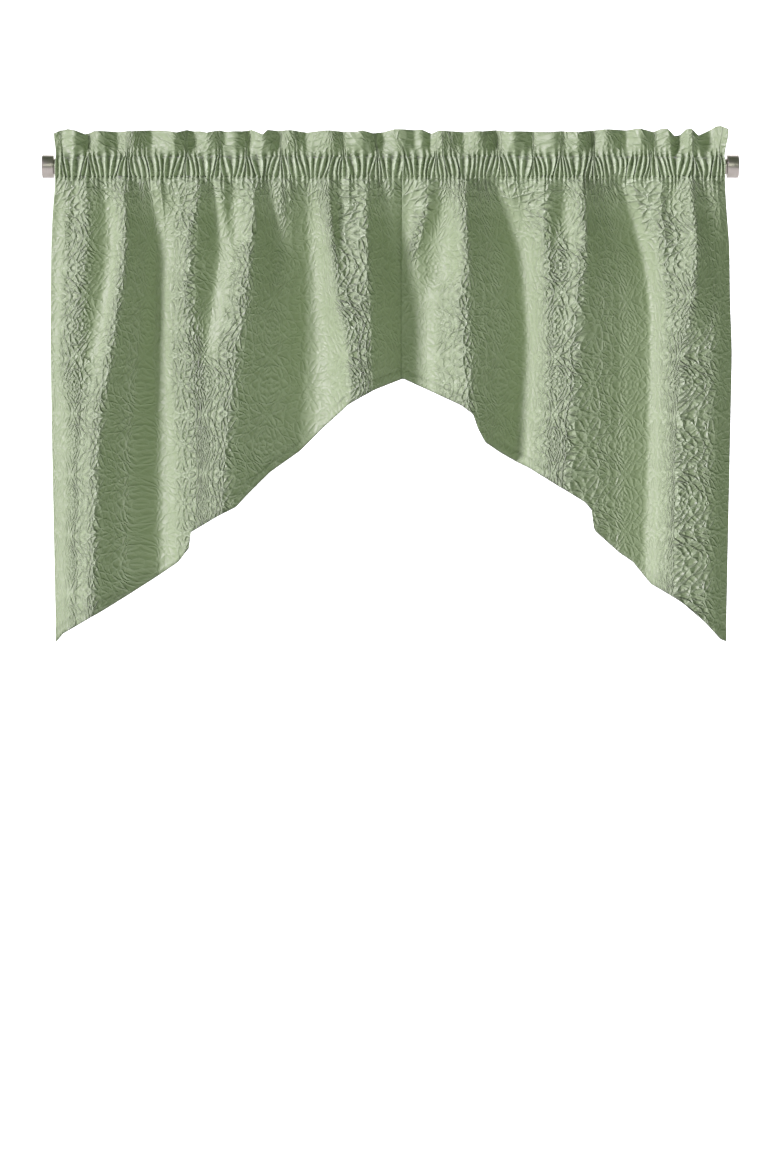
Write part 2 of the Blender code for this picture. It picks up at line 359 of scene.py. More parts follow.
@dataclass(frozen=True)
class BrushedNickel:
    """Warm grey nickel, brushed round the rod in fine rings."""

    light: Colour = (0.66, 0.60, 0.56, 1.0)
    dark: Colour = (0.36, 0.315, 0.29, 1.0)
    ring_pitch: float = 0.0004
    ring_depth: float = 0.00008
    ring_share: float = 0.6
    round_scale: float = 60.0
    smudge_share: float = 0.4
    smudge_scale: float = 70.0
    polish: float = 0.28
    ring_dullness: float = 0.16

    def material(self) -> bpy.types.Material:
        """Make the metal's material.

        Returns:
            The material, read in the object's own coordinates.
        """
        pad = NodePad("brushed nickel")
        place = pad.own_place()
        along, out, up = pad.parts(place)
        ringed = pad.vector(along / self.ring_pitch, out * self.round_scale, up * self.round_scale)
        rings = pad.noise(ringed, 1.0, 2.0)
        smudges = pad.noise(place, self.smudge_scale, 2.0)
        tone = rings * self.ring_share + smudges * self.smudge_share
        return pad.finish(
            {
                "Base Color": pad.blend(tone, self.dark, self.light),
                "Metallic": 1.0,
                "Roughness": self.polish + rings * self.ring_dullness,
                "Normal": pad.bump(rings, self.ring_depth),
            }
        )


@dataclass(frozen=True)
class StudioPaint:
    """Matt white paint of the floor and of the paper round it."""

    name: str = "matt white paint"
    white: Colour = (0.93, 0.93, 0.93, 1.0)
    shaded: Colour = (0.90, 0.90, 0.90, 1.0)
    glow: float = 0.42
    cloud_scale: float = 0.6

    def material(self) -> bpy.types.Material:
        """Make the paint's material."""
        pad = NodePad(self.name)
        clouds = pad.noise(pad.own_place(), self.cloud_scale, 1.0)
        tone = pad.blend(clouds, self.shaded, self.white)
        return pad.finish(
            {
                "Base Color": tone,
                "Roughness": 0.9,
                "Emission Color": tone,
                "Emission Strength": self.glow,
            }
        )


# The cloth's shape.


class Fold(NamedTuple):
    """One crest or trough line: across and out at LEVELS, a short one melts away lower down."""

    across: Note
    out: Note


class Wave(NamedTuple):
    """One crest or trough of the standing header."""

    across: float
    out: float


class EdgePoint(NamedTuple):
    """A point of a panel's top edge or hem."""

    across: float
    height: float


class Side(Enum):
    """Which end of the rod a cap closes, and which way along the rod it faces."""

    LEFT = -1
    RIGHT = 1


def bell(sigma: float, step: float) -> np.ndarray:
    """Give the weights of a soft average.

    Args:
        sigma: how wide it is, in millimetres.
        step: how far apart the samples are, in millimetres.

    Returns:
        Weights that add up to one.
    """
    reach = max(1, int(3 * sigma / step))
    weights = np.exp(-0.5 * (np.arange(-reach, reach + 1) * step / sigma) ** 2)
    return weights / weights.sum()


def softened(line: np.ndarray, sigma: float, step: float) -> np.ndarray:
    """Average a line softly, with its end values held beyond its ends."""
    weights = bell(sigma, step)
    reach = len(weights) // 2
    return np.convolve(np.pad(line, reach, mode="edge"), weights, mode="valid")


def eased(share: np.ndarray | float) -> np.ndarray:
    """Ease a share in and out between nought and one."""
    kept = np.clip(share, 0.0, 1.0)
    return kept * kept * (3.0 - 2.0 * kept)


def rounded_folds(line: np.ndarray, crest: float, trough: float, step: float) -> np.ndarray:
    """Round a zigzag so that crests are broad and troughs stay sharp.

    Args:
        line: heights of the zigzag.
        crest: width of the crests' rounding.
        trough: width of the troughs' rounding.
        step: distance between samples.

    Returns:
        The rounded line.
    """
    both = np.minimum(softened(line, trough, step), softened(line, crest, step))
    return softened(both, 0.5 * trough, step)


def leaning_line(
    grid: np.ndarray, across: np.ndarray, out: np.ndarray, sag: float, drop: float
) -> np.ndarray:
    """Join crests and troughs by flanks that start flat and grow steeper to the right.

    Args:
        grid: where the line is read.
        across: the places of the crests and troughs.
        out: their heights.
        sag: how bent the flanks are that climb out of a trough, one for straight.
        drop: how bent the falling flanks are.

    Returns:
        The line's height at each place of the grid.
    """
    piece = np.clip(np.searchsorted(across, grid, side="right") - 1, 0, len(across) - 2)
    share = np.clip((grid - across[piece]) / (across[piece + 1] - across[piece]), 0.0, 1.0)
    slopes = np.diff(out) / np.diff(across)
    lead_in = -1.0
    turn_rate = 4.0
    before = np.concatenate([[lead_in], slopes[:-1]])
    from_trough = eased(0.5 - turn_rate * before)
    bends = np.where(slopes > 0, 1.0 + (sag - 1.0) * from_trough, drop)
    return out[piece] + (out[piece + 1] - out[piece]) * share ** bends[piece]


@dataclass
class FoldField:
    """The draped face of one panel: how far out the cloth stands at each place."""

    folds: tuple[Fold, ...]
    step_across: float = 1.0
    step_down: float = 2.0
    crest_at_top: float = 4.0
    crest_below: float = 5.0
    trough_at_top: float = 3.0
    trough_below: float = 6.0
    widening: float = 150.0
    neighbourhood: int = 45
    calm: float = 0.16
    gain: float = 1.15
    least_gap: float = 2.0
    sag_at_top: float = 1.7
    sag_below: float = 2.6
    drop_bend: float = 1.1
    margin: float = 5.0
    bend_softness: float = 14.0
    slope_softness: float = 3.0
    front_softness: float = 2.0
    least_relief: float = 4.0
    steep_rise: float = 0.95
    steep_fall: float = 0.40
    front_from: float = 0.27
    front_over: float = 0.30

    def __post_init__(self) -> None:
        """Work out the whole face once."""
        self.heights = np.arange(LEVELS[0], LEVELS[-1] - self.step_down, -self.step_down)
        self.lines, self.outs = self._complete()
        low = self.lines.min() - self.margin
        high = self.lines.max() + self.margin
        self.grid = np.arange(low, high, self.step_across)
        self.face = np.array([self._section(row) for row in range(len(self.heights))])
        self.crispness = np.array([self._crisp_section(section) for section in self.face])

    def _complete(self) -> tuple[np.ndarray, np.ndarray]:
        """Follow every fold line down, short ones along the flank between their neighbours.

        Returns:
            Across and out of each line at each of the field's heights.
        """
        across = np.zeros((len(self.folds), len(LEVELS)))
        out = np.zeros_like(across)
        whole = [i for i, fold in enumerate(self.folds) if len(fold.across) == len(LEVELS)]
        for i in whole:
            across[i] = self.folds[i].across
            out[i] = self.folds[i].out
        for i, fold in enumerate(self.folds):
            given = len(fold.across)
            if given == len(LEVELS):
                continue
            before = max(k for k in whole if k < i)
            after = min(k for k in whole if k > i)
            across[i, :given] = fold.across
            out[i, :given] = fold.out
            span = across[after, given - 1] - across[before, given - 1]
            share = (across[i, given - 1] - across[before, given - 1]) / span
            rest = slice(given, None)
            across[i, rest] = across[before, rest] * (1 - share) + across[after, rest] * share
            out[i, rest] = out[before, rest] * (1 - share) + out[after, rest] * share
        self.whole = whole
        return self._down(across), self._down(out)

    def _down(self, table: np.ndarray) -> np.ndarray:
        """Read every line of a table at the field's heights, with soft bends."""
        rows = []
        for line in table:
            read = np.interp(-self.heights, [-z for z in LEVELS], line)
            rows.append(softened(read, self.bend_softness, self.step_down))
        return np.array(rows)

    def _section(self, row: int) -> np.ndarray:
        """Give the cloth's section at one height."""
        across = self.lines[:, row].copy()
        for i in range(1, len(across)):
            across[i] = max(across[i], across[i - 1] + self.least_gap)
        wide = eased((LEVELS[0] - self.heights[row]) / self.widening)
        sag = self.sag_at_top + (self.sag_below - self.sag_at_top) * wide
        zigzag = leaning_line(self.grid, across, self.outs[:, row], sag, self.drop_bend)
        crest = self.crest_at_top + (self.crest_below - self.crest_at_top) * wide
        trough = self.trough_at_top + (self.trough_below - self.trough_at_top) * wide
        line = rounded_folds(zigzag, crest, trough, self.step_across)
        return line * self.gain

    def _crisp_section(self, section: np.ndarray) -> np.ndarray:
        """Say how strongly one section shows its creases, most along the broad fronts of folds."""
        soft = softened(section, self.slope_softness, self.step_across)
        slope = np.gradient(soft, self.step_across)
        padded = np.pad(section, self.neighbourhood, mode="edge")
        around = np.lib.stride_tricks.sliding_window_view(padded, 2 * self.neighbourhood + 1)
        low = around.min(axis=1)
        high = around.max(axis=1)
        forward = (section - low) / np.maximum(high - low, self.least_relief)
        steep = slope / np.where(slope > 0, self.steep_rise, self.steep_fall)
        front = eased((forward - self.front_from) / self.front_over) * np.exp(-(steep**2))
        front = softened(front, self.front_softness, self.step_across)
        return self.calm + (1.0 - self.calm) * front

    def out_at(self, across: np.ndarray, height: np.ndarray) -> np.ndarray:
        """Read how far out the face stands."""
        return self._read(self.face, across, height)

    def crisp_at(self, across: np.ndarray, height: np.ndarray) -> np.ndarray:
        """Read how strongly the cloth is creased."""
        return self._read(self.crispness, across, height)

    def _read(self, table: np.ndarray, across: np.ndarray, height: np.ndarray) -> np.ndarray:
        """Read a table of the face between its places and heights."""
        row = np.clip((LEVELS[0] - height) / self.step_down, 0, len(self.heights) - LAST_CELL)
        column = (across - self.grid[0]) / self.step_across
        column = np.clip(column, 0, len(self.grid) - LAST_CELL)
        r = row.astype(int)
        c = column.astype(int)
        dr = row - r
        dc = column - c
        upper = table[r, c] * (1 - dc) + table[r, c + 1] * dc
        lower = table[r + 1, c] * (1 - dc) + table[r + 1, c + 1] * dc
        return upper * (1 - dr) + lower * dr

    def line_at(self, line: int, height: np.ndarray) -> np.ndarray:
        """Read where one fold line runs."""
        return np.interp(-height, -self.heights, self.lines[line])


@dataclass
class Puckers:
    """Coarse puckers of the crinkled cloth, mirrored as the creases are."""

    seed: int
    repeat_across: float = 54.0
    repeat_down: float = 43.0
    cell: float = 7.0
    stretch: float = 1.7
    run_across: float = 0.55
    run_down: float = 0.84
    first_across: int = 8
    first_down: int = 18
    cells: int = 40
    height: float = 0.9

    def __post_init__(self) -> None:
        """Draw the puckers of one repeat."""
        self.values = np.random.default_rng(self.seed).uniform(-1, 1, (self.cells, self.cells))

    def at(self, across: np.ndarray, down: np.ndarray) -> np.ndarray:
        """Read the puckers' height at places on the flat cloth."""
        a = self._folded(across, self.repeat_across)
        d = self._folded(down, self.repeat_down)
        slant_a = (a * self.run_across + d * self.run_down) / (self.cell * self.stretch)
        slant_a = slant_a + self.first_across
        slant_d = (d * self.run_across - a * self.run_down) / self.cell + self.first_down
        r = np.clip(slant_d.astype(int), 0, self.cells - 2)
        c = np.clip(slant_a.astype(int), 0, self.cells - 2)
        fr = eased(slant_d - r)
        fc = eased(slant_a - c)
        v = self.values
        upper = v[r, c] * (1 - fc) + v[r, c + 1] * fc
        lower = v[r + 1, c] * (1 - fc) + v[r + 1, c + 1] * fc
        return self.height * (upper * (1 - fr) + lower * fr)

    @staticmethod
    def _folded(place: np.ndarray, reach: float) -> np.ndarray:
        """Run to a reach and back."""
        return reach - np.abs(np.mod(place, 2 * reach) - reach)


def cloth_piece(
    name: str,
    points: np.ndarray,
    flat: np.ndarray,
    crisp: np.ndarray,
    depth: np.ndarray,
    upwards: bool,
) -> bpy.types.Object:
    """Make a sheet from rows of points.

    Args:
        name: the piece's name.
        points: rows of columns of points, in millimetres of across, out and height.
        flat: the same rows on the flat cloth, in millimetres.
        crisp: how strongly the cloth is creased at each point.
        depth: painted shade, up to one in a hollow between gathers; below nought, a painted
            highlight on a ridge.
        upwards: whether the rows climb, so that faces still point outwards.

    Returns:
        The sheet, one layer thick and smooth, with its cloth map.
    """
    rows, columns, _ = points.shape
    placed = points.reshape(-1, 3) * MM
    corners = np.stack([placed[:, 0], -placed[:, 1], placed[:, 2]], axis=1)
    index = np.arange(rows * columns).reshape(rows, columns)
    a, b = index[:-1, :-1], index[:-1, 1:]
    c, d = index[1:, 1:], index[1:, :-1]
    order = (a, b, c, d) if upwards else (a, d, c, b)
    faces = np.stack([corner.ravel() for corner in order], axis=1)
    mesh = bpy.data.meshes.new(name)
    mesh.from_pydata(corners.tolist(), [], faces.tolist())
    mesh.polygons.foreach_set("use_smooth", np.ones(len(faces), dtype=bool))
    layer = mesh.uv_layers.new(name=CLOTH_MAP)
    per_corner = flat.reshape(-1, 2)[faces.ravel()] * MM
    layer.data.foreach_set("uv", per_corner.ravel())
    for label, values in ((CRISP_MAP, crisp), (SHADE_AND_HIGHLIGHT_MAP, depth)):
        noted = mesh.attributes.new(label, "FLOAT", "POINT")
        noted.data.foreach_set("value", values.ravel().astype(np.float32))
    mesh.update()
    piece = bpy.data.objects.new(name, mesh)
    bpy.context.scene.collection.objects.link(piece)
    return piece


def pick(piece: bpy.types.Object) -> None:
    """Make one piece the only one selected, and active, in object mode."""
    if bpy.context.mode != "OBJECT":
        bpy.ops.object.mode_set(mode="OBJECT")
    bpy.ops.object.select_all(action="DESELECT")
    piece.select_set(True)
    bpy.context.view_layer.objects.active = piece


def thicken(piece: bpy.types.Object, thickness: float) -> None:
    """Give a sheet its thickness behind its face."""
    pick(piece)
    wall = piece.modifiers.new("thickness", "SOLIDIFY")
    wall.thickness = thickness * MM
    wall.offset = -1.0
    bpy.ops.object.modifier_apply(modifier=wall.name)


@dataclass(frozen=True)
class Gathering:
    """How the gathers lie along the rod, how high they stand, how far they run down, and the
    painted shade in their hollows and painted highlight on their ridges.
    """

    jitter: float = 0.36
    fan: float = 7.5
    fan_pitch: float = 9.0
    sway: float = 2.0
    sway_pitch: float = 37.0
    bow: float = 2.6
    fadings: tuple[float, ...] = (-0.5, 0.0, 0.5)
    weakest: float = 0.60
    least_run: float = 6.0
    added_run: float = 40.0
    run_power: int = 4
    height: float = 6.0
    at_seam: float = 0.75
    behind: float = 2.2
    ridge_power: float = 1.5
    # Painted shade in the hollows between gathers, and a painted highlight on their ridges.
    hollow_shade: float = 0.70
    hollow_power: int = 3
    ridge_highlight: float = 0.90
    highlight_power: float = 1.6


@dataclass(frozen=True)
class TurnedHem:
    """How far the hem is turned up behind, how its stitch draws the cloth, and the painted shade
    along its stitch and its edge.
    """

    depth: float = 20.0
    behind: float = 2.0
    turns: tuple[tuple[float, float], ...] = ((0.7, 0.9), (0.2, 1.9), (-4.0, 2.1), (-12.0, 2.1))
    stitch: float = 14.0
    groove: float = 1.1
    groove_width: float = 2.2
    draw: float = 0.5
    draw_reach: float = 12.0
    draw_pitch: float = 1.9
    # Painted shade along the stitch groove and along the turned edge.
    stitch_shade: float = 0.22
    stitch_width: float = 1.8
    edge_shade: float = 0.45
    edge_width: float = 2.0


@dataclass(frozen=True)
class HeaderRuffle:
    """How the standing header flares and waves from the upper stitch to its top edge."""

    rows: int = 15
    gain: float = 2.4
    crest: float = 4.0
    trough: float = 1.8
    margin: float = 20.0
    flare_reach: float = 0.06
    lean: float = 1.2
    lean_pitch: float = 9.0
    at_seam: float = 0.25
    growth: float = 1.6
    opening: float = 6.0
    gather_reach: float = 8.0
    pucker: float = 0.6
    pucker_shift: float = 45.0
    pucker_opening: float = 10.0
    shade_fall: float = 9.0
    layer_gap: float = 2.6
    top_turns: tuple[tuple[float, float], ...] = ((0.9, 0.7), (0.9, 1.9))


@dataclass
class SwagPanel:
    """One swag: a rod pocket with a standing header, and a skirt that hangs in folds."""

    name: str
    folds: tuple[Fold, ...]
    header: tuple[Wave, ...]
    top_edge: tuple[EdgePoint, ...]
    hem: tuple[EdgePoint, ...]
    pocket_from: float
    pocket_to: float
    header_from: float
    header_to: float
    seed: int

    pucker_seed_step: int = 5
    gathering: Gathering = Gathering()
    turned_hem: TurnedHem = TurnedHem()
    ruffle: HeaderRuffle = HeaderRuffle()
    gathers: int = 76
    columns_per_gather: int = 5
    skirt_rows: int = 124
    row_crowding: float = 0.35
    stitch_low: float = -15.2
    stitch_high: float = 13.8
    seam_out: float = 3.0
    low_seam_out: float = 10.5
    seam_reach: float = 65.0
    opened_at_seam: float = 0.3
    opening: float = 10.0
    fold_spacing: float = 0.3
    fold_reach: float = 45.0
    pocket_out: float = 13.2
    pocket_rows: int = 12
    pocket_crispness: float = 0.5
    crispness_reach: float = 60.0
    heading_crispness: float = 0.26
    pucker_opening: float = 25.0
    least_pucker: float = 0.3
    seam_shade_reach: float = 11.0
    tucks: tuple[float, ...] = (4.0, 2.0)
    tuck_out: float = 0.12
    tuck_shade: float = 0.45
    least_growth: float = 0.45
    low_shade: float = 0.55
    added_shade: float = 0.45
    shade_rise: float = 1.6
    back_shade: float = 0.5
    thickness: float = 1.0
    measured_at: tuple[float, ...] = (-80.0, -150.0, -220.0, -290.0)
    measure_softness: float = 3.0
    flat_width: float = 0.74
    flat_drop: float = 0.70
    heading_drop: float = 0.16

    def __post_init__(self) -> None:
        """Work out the folds, the gathers and the flat cloth."""
        self.field = FoldField(self.folds)
        self.puckers = Puckers(self.seed + self.pucker_seed_step)
        chance = np.random.default_rng(self.seed)
        habit = self.gathering
        count = self.gathers + 1
        even = np.linspace(self.pocket_from, self.pocket_to, count)
        jitter = habit.jitter
        pitch = even[1] - even[0]
        self.low = even + chance.uniform(-jitter, jitter, count) * pitch
        swayed = even / habit.fan_pitch + habit.sway * np.sin(even / habit.sway_pitch)
        fan = habit.fan * np.sin(swayed)
        self.high = even + fan + chance.uniform(-jitter, jitter, count) * pitch
        for line in (self.low, self.high):
            np.clip(line, self.pocket_from, self.pocket_to, out=line)
            line[0] = self.pocket_from
            line[-1] = self.pocket_to
            line.sort()
        self.bow = chance.uniform(-habit.bow, habit.bow, count)
        self.fading = chance.choice(habit.fadings, count)
        self.bow[[0, -1]] = 0.0
        self.strength = chance.uniform(habit.weakest, 1.0, count)
        luck = chance.uniform(0.0, 1.0, count)
        self.reach = habit.least_run + habit.added_run * luck**habit.run_power
        self._flatten()

    def _phases(self, finer: int) -> np.ndarray:
        """Number the columns by the gathers they follow."""
        count = self.gathers * self.columns_per_gather * finer + 1
        return np.linspace(0, self.gathers, count)

    def _at_gather(self, phase: np.ndarray, values: np.ndarray) -> np.ndarray:
        """Read a value that each gather has its own of."""
        return np.interp(phase, np.arange(self.gathers + 1), values)

    def _ridge(self, phase: np.ndarray) -> np.ndarray:
        """Give the gathers' height, from nought in a hollow to its strength on a ridge."""
        wave = 0.5 + 0.5 * np.cos(2 * np.pi * phase)
        return wave**self.gathering.ridge_power * self._at_gather(phase, self.strength)

    def _across(self, phase: np.ndarray, height: np.ndarray) -> np.ndarray:
        """Say where the skirt's columns run, along its fold lines.

        Args:
            phase: the columns' numbers.
            height: their heights.

        Returns:
            Their places across.
        """
        lines = self.field.whole
        start = np.full(1, float(LEVELS[0]))
        first = np.array([self.field.line_at(i, start)[0] for i in lines])
        keys = np.interp(first, self.low, np.arange(self.gathers + 1))
        keys[0], keys[-1] = 0.0, float(self.gathers)
        for k in range(1, len(keys)):
            keys[k] = max(keys[k], keys[k - 1] + self.fold_spacing)
        keys[-1] = float(self.gathers)
        along = np.zeros_like(height)
        for k in range(len(lines) - 1):
            share = (phase - keys[k]) / (keys[k + 1] - keys[k])
            here = (share >= 0) & (share <= 1)
            left = self.field.line_at(lines[k], height)
            right = self.field.line_at(lines[k + 1], height)
            along = np.where(here, left + (right - left) * share, along)
        on_fold = np.interp(phase, keys, first)
        fade = np.exp((height - self.stitch_low) / self.fold_reach)
        return along + (self._at_gather(phase, self.low) - on_fold) * fade

    def _hem_height(self, phase: np.ndarray) -> np.ndarray:
        """Find the height at which each column meets the hem."""
        across = [point.across for point in self.hem]
        heights = [point.height for point in self.hem]
        first_guess = -300.0
        rounds = 60
        settling = 0.4
        start = np.full_like(phase, first_guess)
        height = np.interp(self._across(phase, start), across, heights)
        for _ in range(rounds):
            target = np.interp(self._across(phase, height), across, heights)
            height = (1.0 - settling) * height + settling * target
        return height

    def _face_out(self, phase: np.ndarray, across: np.ndarray, height: np.ndarray) -> np.ndarray:
        """Say how far out the skirt's face stands, without its puckers."""
        below = self.stitch_low - height
        closed = 1.0 - self.opened_at_seam
        opened = self.opened_at_seam + closed * eased(below / self.opening)
        seam = self.low_seam_out * (1.0 - eased(below / self.seam_reach))
        fade = np.exp(-below / self._at_gather(phase, self.reach))
        ridge = self._ridge(phase) * self.gathering.height * self.gathering.at_seam
        return self.field.out_at(across, height) * opened + seam + ridge * fade

    def _flatten(self) -> None:
        """Measure the cloth across, so that its pattern follows the folds."""
        phase = self._phases(1)
        lengths = []
        for height in self.measured_at:
            level = np.full_like(phase, height)
            across = self._across(phase, level)
            out = self._face_out(phase, across, level)
            lengths.append(np.hypot(np.diff(across), np.diff(out)))
        run = np.concatenate([[0.0], np.cumsum(np.mean(lengths, axis=0))])
        run = softened(run, self.measure_softness, 1.0)
        self.flat_across = run - run[0]

    def _flat(self, phase: np.ndarray) -> np.ndarray:
        """Read a column's place on the flat cloth."""
        return np.interp(phase, self._phases(1), self.flat_across)

    def _down_cloth(self, height: np.ndarray) -> np.ndarray:
        """Say how far down the flat cloth a height of the skirt lies."""
        return SEAM_DOWN + self.stitch_low - height

    def build_skirt(self) -> bpy.types.Object:
        """Hang the skirt in its folds, with its hem turned up behind.

        Returns:
            The skirt.
        """
        phase = self._phases(1)
        bottom = self._hem_height(phase)
        share = np.linspace(0, 1, self.skirt_rows)
        share = self.row_crowding * share**2 + (1.0 - self.row_crowding) * share
        rows = []
        flats = []
        crisps = []
        shade_and_highlight = []
        flat = self._flat(phase)
        between = self._gather_shade_and_highlight(phase)
        for part in share:
            height = self.stitch_low + part * (bottom - self.stitch_low)
            # Painted shade in the hollows between gathers and a painted highlight on their ridges,
            # fading below the stitch.
            seam_shade = between * np.exp((height - self.stitch_low) / self.seam_shade_reach)
            rows.append(self._skirt_row(phase, height, height - bottom))
            crisps.append(self._crispness(phase, height))
            shade_and_highlight.append(seam_shade + self._hem_shade(height - bottom))
            flats.append(np.stack([flat, self._down_cloth(height)], axis=1))
        hem = self.turned_hem
        edge = rows[-1]
        flat_edge = flats[-1]
        for drop, behind in (*hem.turns, (-hem.depth, hem.behind)):
            turned = edge.copy()
            turned[:, 2] -= drop
            above = np.maximum(turned[:, 2], bottom)
            face = self._skirt_row(phase, above, turned[:, 2] - bottom)
            turned[:, 0] = face[:, 0]
            turned[:, 1] = face[:, 1] - behind
            rows.append(turned)
            flats.append(flat_edge + [0.0, -drop + 2.0 * hem.depth])
            crisps.append(crisps[-1])
            shade_and_highlight.append(shade_and_highlight[-1])
        return cloth_piece(
            f"{self.name}_skirt",
            np.array(rows),
            np.array(flats),
            np.array(crisps),
            np.array(shade_and_highlight),
            False,
        )

    def _hem_shade(self, rise: np.ndarray) -> np.ndarray:
        """Paint shade a little along the hem's stitch line and its edge."""
        hem = self.turned_hem
        stitch = np.exp(-(((rise - hem.stitch) / hem.stitch_width) ** 2))
        edge = np.exp(-((rise / hem.edge_width) ** 2))
        return hem.stitch_shade * stitch + hem.edge_shade * edge

    def _crispness(self, phase: np.ndarray, height: np.ndarray) -> np.ndarray:
        """Say how strongly the skirt is creased: evenly at the pocket, on the fold fronts below."""
        below = eased((self.stitch_low - height) / self.crispness_reach)
        noted = self.field.crisp_at(self._across(phase, height), height)
        return self.pocket_crispness * (1.0 - below) + noted * below

    def _skirt_row(self, phase: np.ndarray, height: np.ndarray, rise: np.ndarray) -> np.ndarray:
        """Place one row of the skirt.

        Args:
            phase: the columns' numbers.
            height: their heights.
            rise: how far each is above the hem's edge.

        Returns:
            The row's points.
        """
        across = self._across(phase, height)
        out = self._face_out(phase, across, height)
        flat = self._flat(phase)
        hem = self.turned_hem
        loose = eased((self.stitch_low - height) / self.pucker_opening)
        pucker = self.puckers.at(flat, self._down_cloth(height))
        out += pucker * loose * (self.least_pucker + self._crispness(phase, height))
        groove = np.exp(-(((rise - hem.stitch) / hem.groove_width) ** 2))
        drawn = np.exp(-np.maximum(rise, 0.0) / hem.draw_reach)
        out += -hem.groove * groove + hem.draw * drawn * np.sin(flat / hem.draw_pitch)
        return np.stack([across, out, height], axis=1)

    def _arc(self, angle: float) -> tuple[float, float, float]:
        """Say how far up the pocket a row is, how far round the rod, and at which height."""
        middle = 0.5 * (self.stitch_low + self.stitch_high)
        radius = 0.5 * (self.stitch_high - self.stitch_low)
        up = 0.5 + 0.5 * math.sin(angle)
        return up, math.cos(angle), middle + radius * math.sin(angle)

    def build_heading(self) -> bpy.types.Object:
        """Sew the rod pocket and the standing header from one turned-over strip.

        Returns:
            The heading.
        """
        phase = self._phases(2)
        flat = self._flat(phase)
        habit = self.gathering
        ridge = self._ridge(phase) * habit.height
        seam = self.seam_out + ridge * habit.at_seam
        low = self._at_gather(phase, self.low)
        high = self._at_gather(phase, self.high)
        low_seam = self._face_out(phase, low, np.full_like(low, self.stitch_low))
        bow = self._at_gather(phase, self.bow)
        fading = self._at_gather(phase, self.fading)
        points = []
        # How strongly the painted shade and highlight between gathers shows on each row of the
        # heading.
        shares = []
        for tuck in self.tucks:
            height = np.full_like(phase, self.stitch_low - tuck)
            across = self._across(phase, height)
            out = self._face_out(phase, across, height) + self.tuck_out
            points.append(np.stack([across, out, height], axis=1))
            shares.append(self.tuck_shade)
        for angle in np.linspace(-0.5, 0.5, self.pocket_rows) * math.pi:
            up, round_rod, level = self._arc(angle)
            sewn = low_seam if angle < 0 else seam
            grown = np.clip(1.0 - fading * math.sin(angle), self.least_growth, 1.0)
            out = sewn * (1.0 - round_rod) + (self.pocket_out + ridge * grown) * round_rod
            across = low + (high - low) * up + bow * round_rod
            points.append(np.stack([across, out, np.full_like(phase, level)], axis=1))
            shares.append(self.low_shade + self.added_shade * min(1.0, self.shade_rise * up))
        rises = np.linspace(0, 1, self.ruffle.rows)[1:]
        front = [self._header_row(phase, high, seam, rise) for rise in rises]
        points += front
        shares += [math.exp(-rise * self.ruffle.shade_fall) for rise in rises]
        for climb, behind in self.ruffle.top_turns:
            points.append(front[-1] + [0.0, -behind, climb])
        for row in front[::-1]:
            points.append(row + [0.0, -self.ruffle.layer_gap, 0.0])
        shares += [0.0] * (len(points) - len(shares))
        back_ridge = self._ridge(phase + 0.5) * habit.behind
        for angle in np.linspace(0.5, -0.5, self.pocket_rows) * math.pi:
            up, round_rod, level = self._arc(angle)
            sewn = low_seam if angle < 0 else seam
            out = (sewn - self.ruffle.layer_gap) * (1 - round_rod)
            out -= (self.pocket_out + back_ridge) * round_rod
            across = low + (high - low) * up
            points.append(np.stack([across, out, np.full_like(phase, level)], axis=1))
            shares.append(self.back_shade)
        grid = np.array(points)
        steps = np.linalg.norm(np.diff(grid, axis=0), axis=2).mean(axis=1)
        climbed = np.concatenate([[0.0], np.cumsum(steps)])
        flats = np.zeros((*grid.shape[:2], 2))
        flats[:, :, 0] = flat
        flats[:, :, 1] = SEAM_DOWN - climbed[:, None]
        crisps = np.full(grid.shape[:2], self.heading_crispness)
        # Painted shade and highlight between gathers, scaled row by row.
        shade_and_highlight = self._gather_shade_and_highlight(phase) * np.array(shares)[:, None]
        return cloth_piece(f"{self.name}_heading", grid, flats, crisps, shade_and_highlight, True)

    def _gather_shade_and_highlight(self, phase: np.ndarray) -> np.ndarray:
        """Paint shade and highlight on the columns: up to one of painted shade in a hollow between
        gathers, below nought for a painted highlight on a ridge.
        """
        habit = self.gathering
        wave = 0.5 - 0.5 * np.cos(2 * np.pi * phase)
        hollow = habit.hollow_shade * wave**habit.hollow_power
        return hollow - habit.ridge_highlight * (1.0 - wave) ** habit.highlight_power

    def _header_row(
        self, phase: np.ndarray, start: np.ndarray, seam: np.ndarray, rise: float
    ) -> np.ndarray:
        """Place one row of the header's face.

        Args:
            phase: the columns' numbers.
            start: where the columns leave the upper stitch.
            seam: how far out they leave it.
            rise: nought at the stitch, one at the top edge.

        Returns:
            The row's points.
        """
        ruffle = self.ruffle
        reach = ruffle.flare_reach * (self.pocket_to - self.pocket_from)
        left = np.exp(-(start - self.pocket_from) / reach)
        right = np.exp(-(self.pocket_to - start) / reach)
        flare = left * (self.header_from - self.pocket_from)
        flare += right * (self.header_to - self.pocket_to)
        lean = ruffle.lean * np.sin(start / ruffle.lean_pitch)
        across = start + flare * eased(rise) + lean * rise
        grid = np.arange(self.header_from - ruffle.margin, self.header_to + ruffle.margin, 1.0)
        crests = np.array([wave.across for wave in self.header])
        outs = np.array([wave.out for wave in self.header])
        zigzag = leaning_line(grid, crests, outs, 1.0, self.field.drop_bend)
        waves = rounded_folds(zigzag, ruffle.crest, ruffle.trough, 1.0) * ruffle.gain
        edge_across = [point.across for point in self.top_edge]
        edge_height = [point.height for point in self.top_edge]
        top = np.interp(across, edge_across, edge_height)
        height = self.stitch_high + rise * (top - self.stitch_high)
        risen = height - self.stitch_high
        grown = ruffle.at_seam + (1.0 - ruffle.at_seam) * eased(rise * ruffle.growth)
        gathered = (seam - self.seam_out) * np.exp(-risen / ruffle.gather_reach)
        waved = np.interp(across, grid, waves) * grown * eased(risen / ruffle.opening)
